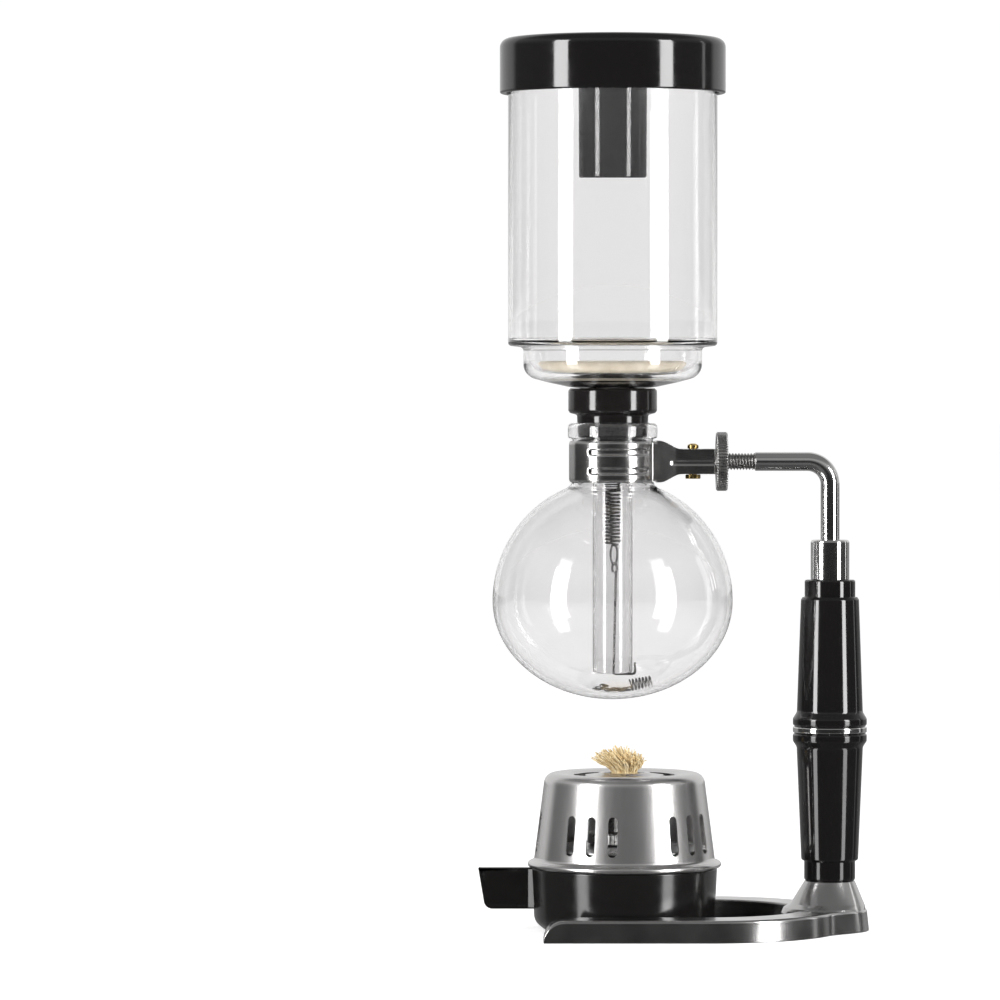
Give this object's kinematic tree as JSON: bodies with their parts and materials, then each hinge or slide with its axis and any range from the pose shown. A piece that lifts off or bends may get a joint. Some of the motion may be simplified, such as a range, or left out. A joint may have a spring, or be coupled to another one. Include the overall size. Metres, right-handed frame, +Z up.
{
  "type": "siphon coffee maker",
  "caption": "Siphon coffee maker: horseshoe stand with a neck clamp, glass flask and upper bowl, cloth filter, lid and spirit burner with a windshield.",
  "frame": {"origin": "centre of the footprint on the surface it stands on", "axes": "+Z up; +X from the glass stem towards the handle, away from the burner's tab; +Y to the back"},
  "size_m": [0.1472, 0.1024, 0.335],
  "materials": {
    "chrome": "mirror-bright plating",
    "satin_steel": "satin",
    "dark_steel": "blackened",
    "brass": "polished",
    "gloss_black": "high gloss",
    "satin_black": "semi gloss",
    "black_silicone": "satin",
    "clear_glass": "clear, polished",
    "steel_wire": "drawn wire",
    "filter_steel": "satin",
    "filter_cotton": "brushed cotton flannel",
    "wick_cotton": "frayed cotton",
    "tank_metal": "spun",
    "stainless": "polished"
  },
  "bodies": {
    "stand": {"base": "chrome", "base_washer": "satin_steel", "base_screw": "dark_steel", "handle_lower": "gloss_black", "handle_ring": "chrome", "handle_upper": "gloss_black", "handle_ferrule": "chrome", "stand_rod": "chrome", "pivot_screw": "brass", "pivot_nut": "brass", "flask": "clear_glass", "boiling_chain": "steel_wire", "boiling_coil": "steel_wire"},
    "clamp_cone": {"clamp_cone": "satin_steel"},
    "clamp_nut": {"clamp_nut": "satin_steel"},
    "jaw_front": {"clamp_jaw_front": "chrome"},
    "jaw_back": {"clamp_jaw_back": "chrome"},
    "bowl": {"upper_bowl": "clear_glass", "stopper": "black_silicone", "filter_cloth": "filter_cotton", "filter_plate_upper": "filter_steel", "filter_plate_lower": "filter_steel", "filter_screw": "filter_steel", "filter_spring": "steel_wire"},
    "hook": {"spring_link": "steel_wire", "hook_wire": "steel_wire"},
    "lid": {"lid": "gloss_black"},
    "burner": {"burner_pot": "satin_black", "burner_tank": "tank_metal", "tank_gasket": "black_silicone", "tank_cap": "satin_steel", "wick_collar": "satin_steel", "wick_tube": "satin_steel"},
    "wick": {"wick": "wick_cotton"},
    "windshield": {"windshield": "stainless"}
  },
  "joints": [
    {"name": "cone_slide", "type": "slide", "parent": "stand", "child": "clamp_cone", "axis": [1, 0, 0], "range_m": [0, 0.0023]},
    {"name": "nut_turn", "type": "hinge", "parent": "clamp_cone", "child": "clamp_nut", "pos_m": [0.01585, 0, 0.1764], "axis": [1, 0, 0], "range_deg": [0, 750]},
    {"name": "jaw_front_open", "type": "hinge", "parent": "stand", "child": "jaw_front", "pos_m": [0.00715, 0, 0.1764], "axis": [0, 0, 1], "range_deg": [0, 6.2]},
    {"name": "jaw_back_open", "type": "hinge", "parent": "stand", "child": "jaw_back", "pos_m": [0.00715, 0, 0.1764], "axis": [0, 0, -1], "range_deg": [0, 6.2]},
    {"name": "bowl_lift", "type": "slide", "parent": "stand", "child": "bowl", "axis": [0, 0, 1], "range_m": [0, 0.13]},
    {"name": "lid_lift", "type": "slide", "parent": "bowl", "child": "lid", "axis": [0, 0, 1], "range_m": [0, 0.06]},
    {"name": "hook_pull", "type": "slide", "parent": "bowl", "child": "hook", "axis": [0, 0, -1], "range_m": [0, 0.0035], "stiffness_N_per_m": 150, "springref_m": -0.006, "deforming": ["filter_spring"]},
    {"name": "burner_slide", "type": "slide", "parent": "stand", "child": "burner", "axis": [-1, 0, 0], "range_m": [0, 0.12]},
    {"name": "wick_raise", "type": "slide", "parent": "burner", "child": "wick", "axis": [0, 0, 1], "range_m": [0, 0.005]},
    {"name": "windshield_lift", "type": "slide", "parent": "burner", "child": "windshield", "axis": [0, 0, 1], "range_m": [0, 0.022]}
  ],
  "couplings": [
    {"joint": "nut_turn", "follows": "cone_slide", "rad_per_m": 5463.6},
    {"joint": "jaw_front_open", "follows": "cone_slide", "rad_per_m": 45.53},
    {"joint": "jaw_back_open", "follows": "cone_slide", "rad_per_m": 45.53}
  ]
}
